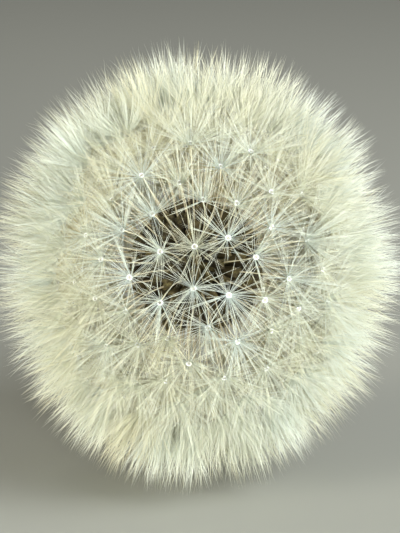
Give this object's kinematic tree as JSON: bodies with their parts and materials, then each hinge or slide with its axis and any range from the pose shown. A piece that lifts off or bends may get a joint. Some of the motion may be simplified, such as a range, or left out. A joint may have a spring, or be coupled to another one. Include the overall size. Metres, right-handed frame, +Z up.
{
  "type": "dandelion seed head",
  "caption": "Ripe dandelion clock, picked with its hollow stalk and laid down, every seed rooted in the receptacle under its parachute of hairs.",
  "frame": {"origin": "on the surface that the seed head lies on, under the middle of its box", "axes": "+Z up; the head's top faces -Y and leans 18 degrees up; the stalk runs back along +Y to its cut end"},
  "size_m": [0.0452, 0.0926, 0.0479],
  "materials": {
    "stalk": "waxy, pale green turning pinkish, fine lengthwise ribs",
    "bract": "dry and papery, olive brown with paler edges",
    "pappus": "silky white to cream hairs, translucent",
    "achene": "matt brown, ribbed, with a paler beak",
    "receptacle": "matt pale cushion, pitted where seeds sit"
  },
  "bodies": {
    "root": {"stalk": "stalk", "bracts": "bract", "seed_head": "pappus"}
  },
  "joints": []
}
